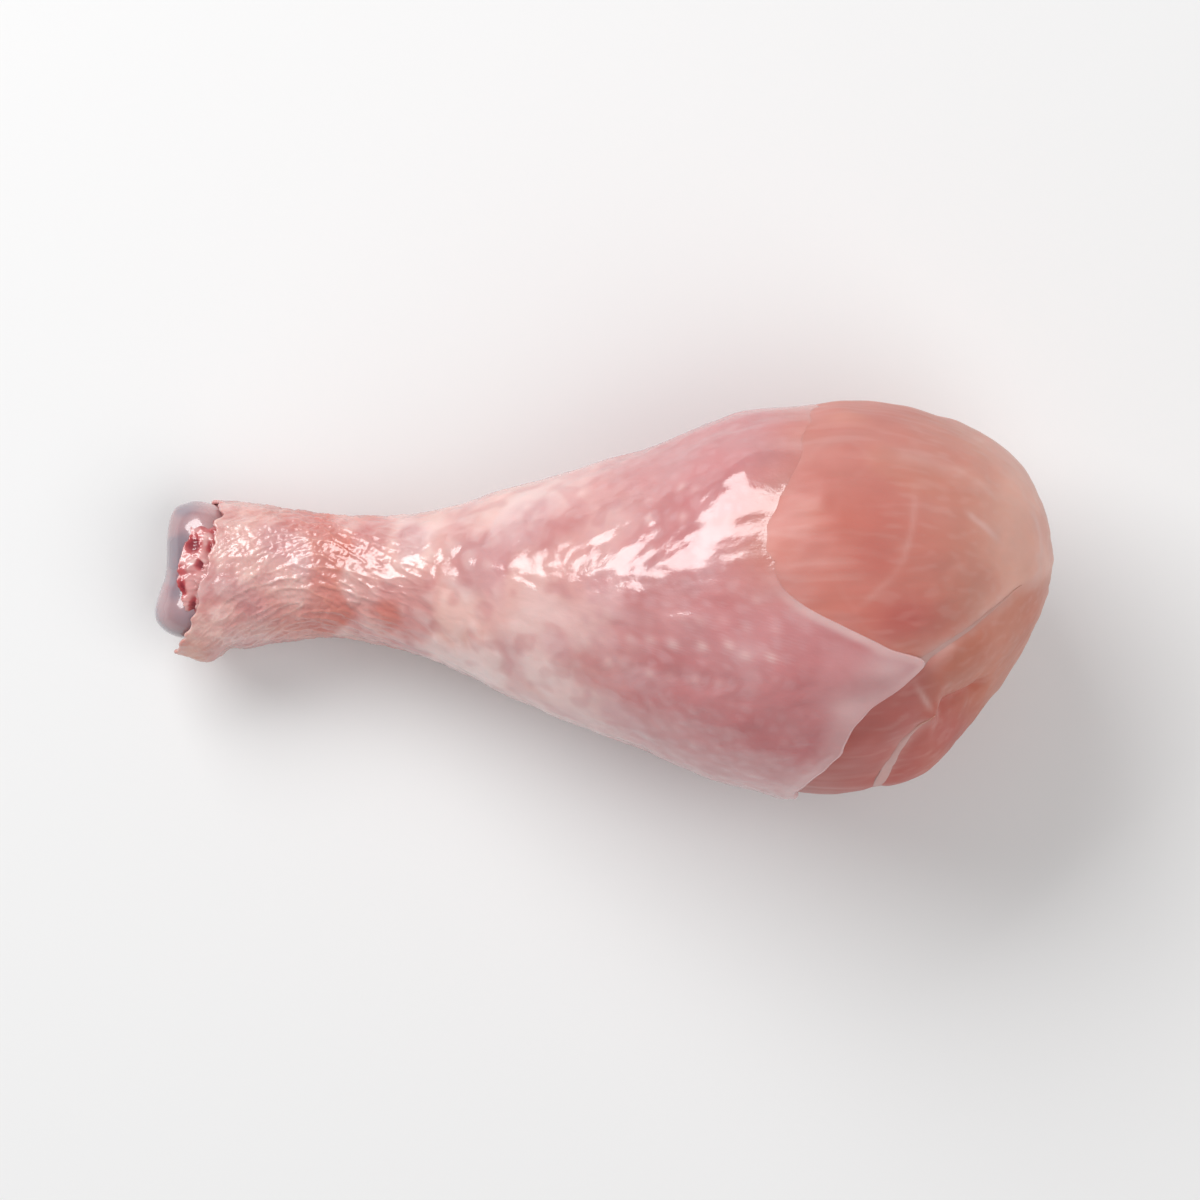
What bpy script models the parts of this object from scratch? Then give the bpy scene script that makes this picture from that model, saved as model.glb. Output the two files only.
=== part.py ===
"""A raw chicken drumstick lying on its side: leg meat on its bone, inside an open sleeve of skin.

The leg runs along X, from the ankle at -X to the knee at +X. It rests on its flattened belly and on
the ankle, at Z = 0. Lengths are in metres. "Along" is a distance from the ankle's tip, and an angle
round the leg starts at its +Y side and passes through the top.
"""

import math
from bisect import bisect_right

import bmesh
import bpy
from mathutils import Matrix, Vector

LENGTH = 0.118  # tip of the ankle's cartilage to the end of the meat
SKIN_THICKNESS = 0.0010
FIT_GAP = 0.0005  # clearance between touching pieces
DOME_START = 0.090  # where the leg is widest and the round knee end begins
DOME_SHIFT_SIDE = 0.0058  # how far the knee end's tip lies towards +Y
DOME_DROP = 0.0010
MEAT_START = 0.0060  # the meat's end behind the ankle joint
FLESHY_WIDTH = 0.010  # the muscles' swellings fade out where the meat is narrower
FLOOR_CLEARANCE = SKIN_THICKNESS + FIT_GAP  # the skin is all that lies under the belly

COLUMNS = 44  # points round the leg
MEAT_ROWS = 17
DOME_ROWS = 7
SKIN_ROWS = 24

# The bare meat's cross-sections: along, width, height, sideways offset and height of its centre.
SECTIONS = (
    (0.004, 0.0196, 0.0148, 0.0032, 0.0087),
    (0.009, 0.0186, 0.0142, 0.0032, 0.0087),
    (0.015, 0.0154, 0.0126, 0.0033, 0.0089),
    (0.023, 0.0132, 0.0118, 0.0031, 0.0097),
    (0.031, 0.0144, 0.0134, 0.0026, 0.0111),
    (0.040, 0.0189, 0.0180, 0.0018, 0.0133),
    (0.048, 0.0250, 0.0238, 0.0010, 0.0156),
    (0.057, 0.0310, 0.0296, 0.0003, 0.0178),
    (0.065, 0.0365, 0.0344, 0.0000, 0.0196),
    (0.074, 0.0438, 0.0398, 0.0000, 0.0213),
    (0.083, 0.0492, 0.0436, 0.0000, 0.0222),
    (DOME_START, 0.0510, 0.0446, 0.0002, 0.0224),
)

# Soft swellings and hollows: along, angle, spread along, spread round (degrees), height.
SWELLS = (
    (0.092, 62.0, 0.018, 42.0, 0.0008),
    (0.097, 172.0, 0.009, 24.0, 0.0007),
    (0.112, 165.0, 0.007, 40.0, -0.0026),
    (0.060, 250.0, 0.016, 40.0, 0.0010),
)

# Where the skin was cut at the knee: angle in degrees, along. A tongue of skin is left on top.
KNEE_EDGE = (
    (0.0, 0.0860),
    (45.0, 0.0865),
    (75.0, 0.0830),
    (90.0, 0.0840),
    (97.0, 0.0885),
    (105.0, 0.0955),
    (113.0, 0.1005),
    (121.0, 0.0975),
    (133.0, 0.0930),
    (148.0, 0.0885),
    (165.0, 0.0860),
    (210.0, 0.0830),
    (270.0, 0.0960),
    (325.0, 0.0850),
)

# Where the skin was cut at the ankle: angle in degrees, along.
ANKLE_EDGE = (
    (0.0, 0.0078),
    (50.0, 0.0084),
    (90.0, 0.0070),
    (150.0, 0.0052),
    (200.0, 0.0048),
    (270.0, 0.0052),
    (320.0, 0.0066),
)

SHAFT_RADIUS = 0.0031
SHAFT_OVALNESS = 1.1  # width over height
SHAFT_STEPS = 14
ANKLE_FLARE = 0.55  # how much the shaft's radius grows towards the ankle, as a share
KNEE_FLARE = 0.90
ANKLE_JOINT = Vector((0.0048, 0.0032, 0.0087))
CONDYLE_RADII = Vector((0.0048, 0.0043, 0.0058))
CONDYLE_SPREAD = 0.0045  # each condyle's centre to the middle of the joint
CONDYLE_STAGGER = 0.0008  # the +Y condyle sits this much further up the leg
KNEE_JOINT = Vector((0.1075, 0.0040, 0.0125))
KNEE_HEAD_RADII = Vector((0.0090, 0.0095, 0.0075))
END_SEGMENTS = 18  # round a joint's head
END_RINGS = 10

COLOURS = {
    "meat": (0.62, 0.25, 0.20, 1.0),
    "skin": (0.66, 0.36, 0.34, 1.0),
    "bone": (0.60, 0.52, 0.54, 1.0),
}
ROUGHNESS = {"meat": 0.35, "skin": 0.40, "bone": 0.25}


def clear_scene():
    for obj in list(bpy.data.objects):
        bpy.data.objects.remove(obj, do_unlink=True)


def new_collection(name):
    collection = bpy.data.collections.new(name)
    bpy.context.scene.collection.children.link(collection)
    return collection


def material(name):
    made = bpy.data.materials.new(name)
    made.use_nodes = True
    shader = made.node_tree.nodes["Principled BSDF"]
    shader.inputs["Base Color"].default_value = COLOURS[name]
    shader.inputs["Roughness"].default_value = ROUGHNESS[name]
    shader.inputs["Metallic"].default_value = 0.0
    return made


def through_points(places, values, at):
    """The smooth curve through (place, value), read at a place: cubic pieces with chord slopes."""
    last = len(places) - 1
    i = min(max(bisect_right(places, at) - 1, 0), last - 1)

    def slope(k):
        before, after = max(k - 1, 0), min(k + 1, last)
        return (values[after] - values[before]) / (places[after] - places[before])

    span = places[i + 1] - places[i]
    t = min(max((at - places[i]) / span, 0.0), 1.0)
    bend_in = (2 * t**3 - 3 * t**2 + 1) * values[i] + (t**3 - 2 * t**2 + t) * span * slope(i)
    bend_out = (3 * t**2 - 2 * t**3) * values[i + 1] + (t**3 - t**2) * span * slope(i + 1)
    return bend_in + bend_out


def edge_at(edge, angle):
    """Where a cut edge lies along the leg at an angle in degrees; the table repeats every turn."""
    turns = (-360.0, 0.0, 360.0)
    places = [degrees + turn for turn in turns for degrees, _ in edge]
    values = [along for _ in turns for _, along in edge]
    return through_points(places, values, angle % 360.0)


def section(along):
    """Width, height, sideways offset and centre height of the bare meat at a place along the leg."""
    if along <= DOME_START:
        places = [row[0] for row in SECTIONS]
        return [through_points(places, [row[k] for row in SECTIONS], along) for k in range(1, 5)]
    _, width, height, side, level = SECTIONS[-1]
    u = min((along - DOME_START) / (LENGTH - DOME_START), 1.0)
    shrink = math.sqrt(1.0 - u * u)
    return [width * shrink, height * shrink, side + DOME_SHIFT_SIDE * u * u, level - DOME_DROP * u]


def swell(along, angle):
    """How far the muscles stand out of the plain cross-section, in metres."""
    total = 0.0
    for centre, degrees, spread, spread_round, height in SWELLS:
        off_round = (angle - degrees + 180.0) % 360.0 - 180.0
        off = ((along - centre) / spread) ** 2 + (off_round / spread_round) ** 2
        total += height * math.exp(-off)
    return total


def flesh(along, angle):
    """A point on the bare meat."""
    width, height, side, level = section(along)
    fullness = min(width / FLESHY_WIDTH, 1.0)
    out = swell(along, angle) * fullness
    turn = math.radians(angle)
    y = side + (width / 2 + out) * math.cos(turn)
    z = level + (height / 2 + out) * math.sin(turn)
    return Vector((along, y, max(z, FLOOR_CLEARANCE)))


def flesh_normal(along, angle):
    """The outward direction of the bare meat's surface, from points a short step away."""
    step, step_round = 0.0005, 1.0
    forward = flesh(along + step, angle) - flesh(along - step, angle)
    round_leg = flesh(along, angle + step_round) - flesh(along, angle - step_round)
    return round_leg.cross(forward).normalized()


def angles():
    """The angles of the points round the leg, in degrees."""
    return [360.0 * k / COLUMNS for k in range(COLUMNS)]


def in_frame(point):
    """A point measured from the ankle's tip, moved so that the origin is below the middle."""
    return Vector((point.x - LENGTH / 2, point.y, point.z))


def new_object(name, mesh_builder, collection, look=None):
    mesh = bpy.data.meshes.new(name)
    mesh_builder.to_mesh(mesh)
    mesh_builder.free()
    mesh.shade_smooth()
    obj = bpy.data.objects.new(name, mesh)
    collection.objects.link(obj)
    if look:
        mesh.materials.append(look)
    return obj


def bridge(builder, rings):
    """Quads between rings of vertices, facing out when the rings run from -X to +X."""
    sides = len(rings[0])
    for ring, following in zip(rings, rings[1:]):
        for k in range(sides):
            after = (k + 1) % sides
            builder.faces.new((ring[k], ring[after], following[after], following[k]))


def loft(name, rings, tip, collection, look=None):
    """A closed body through the rings, with a flat end on the first and a point at the tip."""
    builder = bmesh.new()
    rows = [[builder.verts.new(in_frame(point)) for point in ring] for ring in rings]
    bridge(builder, rows)
    top = builder.verts.new(in_frame(tip))
    for k in range(COLUMNS):
        builder.faces.new((rows[-1][k], rows[-1][(k + 1) % COLUMNS], top))
    builder.faces.new(list(reversed(rows[0])))
    bmesh.ops.triangulate(builder, faces=[f for f in builder.faces if len(f.verts) > 4])
    bmesh.ops.recalc_face_normals(builder, faces=builder.faces)
    return new_object(name, builder, collection, look)


def make_meat(collection):
    """The muscles, from behind the ankle joint to the round knee end."""
    rings = []
    for row in range(MEAT_ROWS):
        along = MEAT_START + (DOME_START - MEAT_START) * row / (MEAT_ROWS - 1)
        rings.append([flesh(along, angle) for angle in angles()])
    for row in range(1, DOME_ROWS):
        along = DOME_START + (LENGTH - DOME_START) * math.sin(math.pi / 2 * row / DOME_ROWS)
        rings.append([flesh(along, angle) for angle in angles()])
    _, _, side, level = section(LENGTH)
    tip = Vector((LENGTH, side, level))
    return loft("meat", rings, tip, collection, material("meat"))


def make_skin(collection):
    """The sleeve: an open sheet just off the meat, thickened outwards."""
    builder = bmesh.new()
    rows = []
    for row in range(SKIN_ROWS + 1):
        share = row / SKIN_ROWS
        ring = []
        for angle in angles():
            start = edge_at(ANKLE_EDGE, angle)
            along = start + (edge_at(KNEE_EDGE, angle) - start) * share
            point = flesh(along, angle) + flesh_normal(along, angle) * FIT_GAP
            ring.append(builder.verts.new(in_frame(point)))
        rows.append(ring)
    bridge(builder, rows)
    for face in builder.faces:
        face.smooth = True
    skin = new_object("skin", builder, collection, material("skin"))
    solid = skin.modifiers.new("thickness", "SOLIDIFY")
    solid.thickness = SKIN_THICKNESS
    solid.offset = 1.0
    solid.use_even_offset = True
    return skin


def ellipsoid(name, centre, radii, collection):
    """One round end of the bone."""
    builder = bmesh.new()
    bmesh.ops.create_uvsphere(
        builder, u_segments=END_SEGMENTS, v_segments=END_RINGS, radius=1.0
    )
    poles_along_x = Matrix.Rotation(math.pi / 2, 3, "Y")
    bmesh.ops.rotate(builder, verts=builder.verts, matrix=poles_along_x)
    bmesh.ops.scale(builder, verts=builder.verts, vec=radii)
    bmesh.ops.translate(builder, verts=builder.verts, vec=in_frame(centre))
    return new_object(name, builder, collection)


def shaft_rings(grow):
    """The tibia's shaft, which flares towards both joints."""
    rings = []
    for step in range(SHAFT_STEPS + 1):
        share = step / SHAFT_STEPS
        centre = ANKLE_JOINT.lerp(KNEE_JOINT, share)
        flare = 1.0 + ANKLE_FLARE * (1.0 - share) ** 6 + KNEE_FLARE * share**6
        radius = SHAFT_RADIUS * flare + grow
        ring = []
        for angle in angles()[::2]:
            turn = math.radians(angle)
            across = radius * SHAFT_OVALNESS * math.cos(turn)
            ring.append(centre + Vector((0.0, across, radius * math.sin(turn))))
        rings.append(ring)
    return rings


def make_bone(name, grow, collection, helpers, look=None):
    """The tibia with the ankle's two condyles and the knee's head; grow adds to every radius."""
    builder = bmesh.new()
    rows = [[builder.verts.new(in_frame(point)) for point in ring] for ring in shaft_rings(grow)]
    bridge(builder, rows)
    builder.faces.new(list(reversed(rows[0])))
    builder.faces.new(rows[-1])
    bmesh.ops.recalc_face_normals(builder, faces=builder.faces)
    bone = new_object(name, builder, collection, look)
    more = Vector((grow, grow, grow))
    ends = [("knee_head", KNEE_JOINT, KNEE_HEAD_RADII)]
    for label, side in (("inner", -1), ("outer", 1)):
        centre = ANKLE_JOINT + Vector((max(side, 0) * CONDYLE_STAGGER, side * CONDYLE_SPREAD, 0.0))
        ends.append((f"condyle_{label}", centre, CONDYLE_RADII))
    for label, centre, radii in ends:
        end = ellipsoid(f"{name}_{label}", centre, radii + more, helpers)
        hide(end)
        join = bone.modifiers.new(label, "BOOLEAN")
        join.operation = "UNION"
        join.object = end
    return bone


def hide(obj):
    """Leaves a cutter or a joined piece out of the model."""
    obj.hide_render = True
    obj.display_type = "WIRE"


def main():
    clear_scene()
    parts = new_collection("chicken_drumstick")
    helpers = new_collection("helpers")
    make_skin(parts)
    meat = make_meat(parts)
    make_bone("bone", 0.0, parts, helpers, material("bone"))
    channel = make_bone("bone_channel", FIT_GAP, helpers, helpers)
    hide(channel)
    cut = meat.modifiers.new("bone_channel", "BOOLEAN")
    cut.operation = "DIFFERENCE"
    cut.object = channel


main()
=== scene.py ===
"""The looks of a raw chicken drumstick: bare meat at the knee end, wet skin, and cartilage ends.

Shapes are worked out in millimetres and scaled to the frame. A point is (along, y, z): "along" is
the distance from the ankle's tip, y and z are the frame's directions. An angle round the leg is in
degrees, starts at its +Y side and passes through the top. "Off" is a height over the bare meat.
"""

import math

import bpy
import numpy as np
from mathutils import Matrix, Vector, kdtree, noise
from mathutils.bvhtree import BVHTree


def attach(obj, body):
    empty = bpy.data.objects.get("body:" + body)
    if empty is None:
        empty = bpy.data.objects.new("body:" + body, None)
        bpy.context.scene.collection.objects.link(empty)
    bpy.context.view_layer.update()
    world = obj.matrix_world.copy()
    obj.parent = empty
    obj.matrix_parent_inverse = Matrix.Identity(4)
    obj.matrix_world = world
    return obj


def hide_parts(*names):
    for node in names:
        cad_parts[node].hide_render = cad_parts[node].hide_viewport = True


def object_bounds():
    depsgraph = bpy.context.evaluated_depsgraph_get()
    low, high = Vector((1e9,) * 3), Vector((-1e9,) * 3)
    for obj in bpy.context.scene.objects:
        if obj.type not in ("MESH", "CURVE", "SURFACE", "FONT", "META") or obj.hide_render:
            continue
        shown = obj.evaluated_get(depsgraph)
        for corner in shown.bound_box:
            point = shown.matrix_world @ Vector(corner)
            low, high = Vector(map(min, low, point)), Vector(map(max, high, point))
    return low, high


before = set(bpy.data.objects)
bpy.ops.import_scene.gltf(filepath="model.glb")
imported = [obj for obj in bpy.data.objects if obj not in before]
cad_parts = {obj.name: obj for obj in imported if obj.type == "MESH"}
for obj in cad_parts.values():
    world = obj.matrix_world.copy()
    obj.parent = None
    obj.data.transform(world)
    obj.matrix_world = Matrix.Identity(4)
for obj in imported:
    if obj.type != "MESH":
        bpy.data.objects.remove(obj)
CAD_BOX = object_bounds()

LEG = 118.0  # the leg's length in the script's millimetres
MM = (CAD_BOX[1].x - CAD_BOX[0].x) / LEG
TIP_X = CAD_BOX[0].x  # where the ankle's tip lies in the frame
RNG = np.random.default_rng(7)
NOISE_STEP = 17.31  # how far apart the noises of two seeds are read
NOISE_GAIN = 1.6  # brings the noise and the cells to about one

# ---------------------------------------------------------------- the leg's shape

DOME_START = 90.0
DOME_SHIFT_SIDE = 5.8
DOME_DROP = 1.0
FLOOR_CLEARANCE = 1.5
SLEEVE = 1.5  # height of the skin's outer face over the meat

# The bare meat's cross-sections: along, width, height, sideways offset and height of its centre.
SECTIONS = np.array((
    (4.0, 19.6, 14.8, 3.2, 8.7),
    (9.0, 18.6, 14.2, 3.2, 8.7),
    (15.0, 15.4, 12.6, 3.3, 8.9),
    (23.0, 13.2, 11.8, 3.1, 9.7),
    (31.0, 14.4, 13.4, 2.6, 11.1),
    (40.0, 18.9, 18.0, 1.8, 13.3),
    (48.0, 25.0, 23.8, 1.0, 15.6),
    (57.0, 31.0, 29.6, 0.3, 17.8),
    (65.0, 36.5, 34.4, 0.0, 19.6),
    (74.0, 43.8, 39.8, 0.0, 21.3),
    (83.0, 49.2, 43.6, 0.0, 22.2),
    (DOME_START, 51.0, 44.6, 0.2, 22.4),
    (97.0, 49.2, 43.6, 0.1, 22.1),
))

# Soft swellings and hollows: along, angle, spread along, spread round (degrees), height.
SWELLS = (
    (92.0, 62.0, 18.0, 42.0, 0.8),
    (97.0, 172.0, 9.0, 24.0, 0.7),
    (112.0, 165.0, 7.0, 40.0, -2.6),
    (60.0, 250.0, 16.0, 40.0, 1.0),
)

# Where the skin ends at the knee: angle, along. A tongue of skin is left on top.
KNEE_EDGE = np.array((
    (0.0, 87.0), (45.0, 86.0), (70.0, 81.8), (82.0, 81.8), (91.0, 84.5), (98.0, 89.5), (105.0, 95.3),
    (112.0, 99.8), (117.0, 97.6), (124.0, 93.0), (143.0, 88.6), (163.0, 85.0), (210.0, 83.0),
    (270.0, 96.0), (325.0, 86.0),
))

# Where the skin ends at the ankle: angle, along.
ANKLE_EDGE = np.array((
    (0.0, 8.4), (30.0, 9.2), (60.0, 8.2), (90.0, 7.2), (125.0, 5.6), (150.0, 4.2),
    (175.0, 3.4), (200.0, 4.2), (240.0, 5.2), (270.0, 5.0), (320.0, 6.6),
))

# How high the skin's outer face stands at the knee edge: angle, off. It thins to a film on top.
KNEE_EDGE_OFF = np.array((
    (0.0, 0.10), (40.0, -0.15), (70.0, -0.12), (85.0, 0.06), (97.0, 0.20), (108.0, 0.24),
    (116.0, 0.45), (126.0, 0.90), (150.0, 1.20), (210.0, 1.20), (270.0, 1.10), (330.0, 0.70),
))

ANKLE_EDGE_OFF = 0.65  # the same at the ankle, all round

KNEE_HEAD = np.array((107.5, 4.0, 12.5))
KNEE_HEAD_RADII = np.array((9.0, 9.5, 7.5))
KNEE_SIDE = 98.0  # past here a point near the knee head is on the leg's far end
ANKLE_JOINT = np.array((5.5, 3.2, 8.7))


def through(places, values, at):
    """The smooth curve through (place, value), read at many places: cubic pieces, chord slopes."""
    slopes = np.gradient(values)
    slopes[1:-1] = (values[2:] - values[:-2]) / (places[2:] - places[:-2])
    slopes[0] = (values[1] - values[0]) / (places[1] - places[0])
    slopes[-1] = (values[-1] - values[-2]) / (places[-1] - places[-2])
    i = np.clip(np.searchsorted(places, at, side="right") - 1, 0, len(places) - 2)
    span = places[i + 1] - places[i]
    t = np.clip((at - places[i]) / span, 0.0, 1.0)
    bend_in = (2 * t**3 - 3 * t**2 + 1) * values[i] + (t**3 - 2 * t**2 + t) * span * slopes[i]
    bend_out = (3 * t**2 - 2 * t**3) * values[i + 1] + (t**3 - t**2) * span * slopes[i + 1]
    return bend_in + bend_out


def round_leg(table, angle):
    """A table of (angle, value) read at many angles; it repeats every turn."""
    turns = np.array((-360.0, 0.0, 360.0))[:, None]
    places = (table[:, 0] + turns).ravel()
    values = np.tile(table[:, 1], 3)
    return through(places, values, np.mod(angle, 360.0))


def section(along):
    """Width, height, sideways offset and centre height of the bare meat."""
    inside = np.minimum(along, DOME_START)
    width, height, side, level = (through(SECTIONS[:, 0], SECTIONS[:, k], inside) for k in range(1, 5))
    u = np.clip((along - DOME_START) / (LEG - DOME_START), 0.0, 1.0)
    shrink = np.sqrt(1.0 - u * u)
    return width * shrink, height * shrink, side + DOME_SHIFT_SIDE * u * u, level - DOME_DROP * u


def flesh(along, angle, off=0.0):
    """Points on the bare meat, or off it along its outward direction."""
    along, angle, off = np.broadcast_arrays(along, angle, off)
    width, height, side, level = section(along)
    out = np.zeros(along.shape)
    for centre, degrees, spread, spread_round, lift in SWELLS:
        off_round = np.mod(angle - degrees + 180.0, 360.0) - 180.0
        out += lift * np.exp(-(((along - centre) / spread) ** 2) - (off_round / spread_round) ** 2)
    out *= np.minimum(width / 10.0, 1.0)
    turn = np.radians(angle)
    y = side + (width / 2 + out) * np.cos(turn)
    z = np.maximum(level + (height / 2 + out) * np.sin(turn), FLOOR_CLEARANCE)
    points = np.stack((along, y, z), axis=-1)
    if not np.any(off):
        return points
    return points + flesh_normal(along, angle) * off[..., None]


def flesh_normal(along, angle):
    """The bare meat's outward directions, without its grooves."""
    step, step_round = 0.5, 1.0
    ahead = np.minimum(along + step, LEG - 0.05)
    forward = flesh(ahead, angle) - flesh(ahead - 2 * step, angle)
    across = flesh(along, angle + step_round) - flesh(along, angle - step_round)
    normal = np.cross(across, forward)
    return normal / np.linalg.norm(normal, axis=-1, keepdims=True)


def on_top(along, y):
    """The angle at which the upper side of the meat lies at y."""
    width, _, side, _ = section(np.asarray(along, float))
    return np.degrees(np.arccos(np.clip((y - side) / (width / 2), -1.0, 1.0)))


def angles_round(columns, bias):
    """A row of angles round the leg, closer together on its top by a bias from 0 to 1."""
    turn = np.arange(columns)[None, :] * 2 * math.pi / columns
    return np.degrees(turn + bias * np.cos(turn))


# ---------------------------------------------------------------- noise and masks


def noise_at(points, size, seed):
    """Smooth noise, about -1 to 1; size is a feature's length, one number or one for each axis."""
    places = (points / np.asarray(size, float)).reshape(-1, 3) + seed * NOISE_STEP
    made = np.array([noise.noise(p) for p in places.tolist()])
    return made.reshape(points.shape[:-1]) * NOISE_GAIN


def cells_at(points, size, seed):
    """0 on the borders between round cells of a size, up to about 1 in their middles."""
    places = (points / size).reshape(-1, 3) + seed * NOISE_STEP
    near = [noise.voronoi(p)[0] for p in places.tolist()]
    made = np.array([d[1] - d[0] for d in near])
    return np.clip(made.reshape(points.shape[:-1]) * NOISE_GAIN, 0.0, 1.0)


def smooth(low, high, value):
    """0 at low, 1 at high, smooth between."""
    t = np.clip((value - low) / (high - low), 0.0, 1.0)
    return t * t * (3 - 2 * t)


def blob(points, centre, radii):
    """1 at a centre in the top view, falling off smoothly; centre and radii are (along, y)."""
    return np.exp(-sum(((points[..., k] - centre[k]) / radii[k]) ** 2 for k in (0, 1)))


def smooth_path(points, steps=12):
    """A finer path: a smooth curve through the points."""
    points = np.asarray(points, float)
    places = np.arange(len(points), dtype=float)
    at = np.linspace(0.0, len(points) - 1.0, (len(points) - 1) * steps + 1)
    return np.stack([through(places, points[:, k], at) for k in range(points.shape[1])], axis=-1)


def path_distance(points, path):
    """Each point's distance from a path, and how far along the path it lies, from 0 to 1."""
    best = np.full(points.shape[:-1], 1e9)
    share = np.zeros(points.shape[:-1])
    for k in range(len(path) - 1):
        step = path[k + 1] - path[k]
        t = np.clip(((points - path[k]) @ step) / (step @ step), 0.0, 1.0)
        away = np.linalg.norm(points - path[k] - t[..., None] * step, axis=-1)
        closer = away < best
        best = np.where(closer, away, best)
        share = np.where(closer, (k + t) / (len(path) - 1), share)
    return best, share


# ---------------------------------------------------------------- colours


def srgb(red, green, blue):
    """A colour from 0-255 sRGB to linear."""
    c = np.array((red, green, blue)) / 255.0
    return np.where(c <= 0.04045, c / 12.92, ((c + 0.055) / 1.055) ** 2.4)


SKIN_PINK = srgb(202, 132, 134)
SKIN_LILAC = srgb(212, 160, 162)
SKIN_ROSY = srgb(193, 115, 117)
SKIN_CREAM = srgb(236, 190, 181)
SKIN_PALE = srgb(238, 206, 202)
SKIN_CREASE = srgb(206, 112, 94)
SKIN_CUT = srgb(218, 172, 172)
MEAT_PINK = srgb(200, 122, 110)
MEAT_ORANGE = srgb(205, 136, 118)
MEAT_RED = srgb(186, 90, 84)
MEAT_DEEP = srgb(194, 112, 88)
MEAT_MAUVE = srgb(182, 90, 84)
# Pale peach of the knee's capsule and of the meat's far end; on the far end it also serves as painted light.
MEAT_RIM = srgb(230, 176, 160)
FASCIA = srgb(224, 182, 174)
CARTILAGE = srgb(148, 131, 141)
CARTILAGE_PINK = srgb(190, 148, 150)
KNEE_CARTILAGE = srgb(226, 202, 204)
# The darkest red of the ankle's hollows: partly blood, partly painted shade.
BLOOD_AND_SHADE = srgb(134, 26, 44)
RAW_RED = srgb(186, 78, 82)
TISSUE = srgb(222, 160, 158)
ANKLE_LOBE = srgb(206, 140, 104)
TENDON = srgb(210, 156, 150)
MEMBRANE = srgb(214, 162, 154)


def mix(first, second, share):
    """Colours between two, by a share for each point."""
    return first + (second - first) * np.asarray(share)[..., None]


# ---------------------------------------------------------------- meshes


def to_frame(points):
    """From the script's millimetres to the frame's metres, kept above the floor."""
    placed = np.array(points, float) * MM
    placed[..., 0] += TIP_X
    placed[..., 2] = np.maximum(placed[..., 2], 0.0)
    return placed


def new_piece(name, vertices, faces, look, tints, relief=1.0):
    """A smooth mesh piece with a colour for each vertex, riding on the leg."""
    mesh = bpy.data.meshes.new(name)
    mesh.from_pydata(to_frame(vertices).tolist(), [], faces)
    mesh.validate()
    mesh.shade_smooth()
    mesh.materials.append(look)
    piece = bpy.data.objects.new(name, mesh)
    bpy.context.scene.collection.objects.link(piece)
    paint(piece, tints, relief)
    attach(piece, "root")
    return piece


def paint(piece, tints, relief):
    """Stores each vertex's colour, and its share of the material's fine relief as the alpha."""
    layer = piece.data.color_attributes.new("tint", "FLOAT_COLOR", "POINT")
    colours = np.ones((len(piece.data.vertices), 4), np.float32)
    colours[:, :3] = np.clip(np.broadcast_to(tints, (len(colours), 3)), 0.0, 1.0)
    colours[:, 3] = relief
    layer.data.foreach_set("color", colours.ravel())


def ring_faces(rows, columns, closed=False):
    """Quads over rings of vertices; open rows end in a fan round one more vertex each."""
    faces = []
    total = rows * columns
    for row in range(rows if closed else rows - 1):
        here, following = row * columns, (row + 1) % rows * columns
        for k in range(columns):
            after = (k + 1) % columns
            faces.append((here + k, here + after, following + after, following + k))
    if not closed:
        last = total - columns
        for k in range(columns):
            after = (k + 1) % columns
            faces.append((after, k, total))
            faces.append((last + k, last + after, total + 1))
    return faces


def capped(rings, values):
    """Rings and their colours as flat lists, with the two end fans' middle vertices added."""
    middles = np.stack((rings[0].mean(axis=0), rings[-1].mean(axis=0)))
    ends = np.stack((values[0].mean(axis=0), values[-1].mean(axis=0)))
    return np.vstack((rings.reshape(-1, 3), middles)), np.vstack((values.reshape(-1, 3), ends))


# ---------------------------------------------------------------- materials


BUMP_DEPTH = 0.00015  # metres
SUBSURFACE = 0.18
SUBSURFACE_DEPTH = 0.002  # metres


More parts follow.
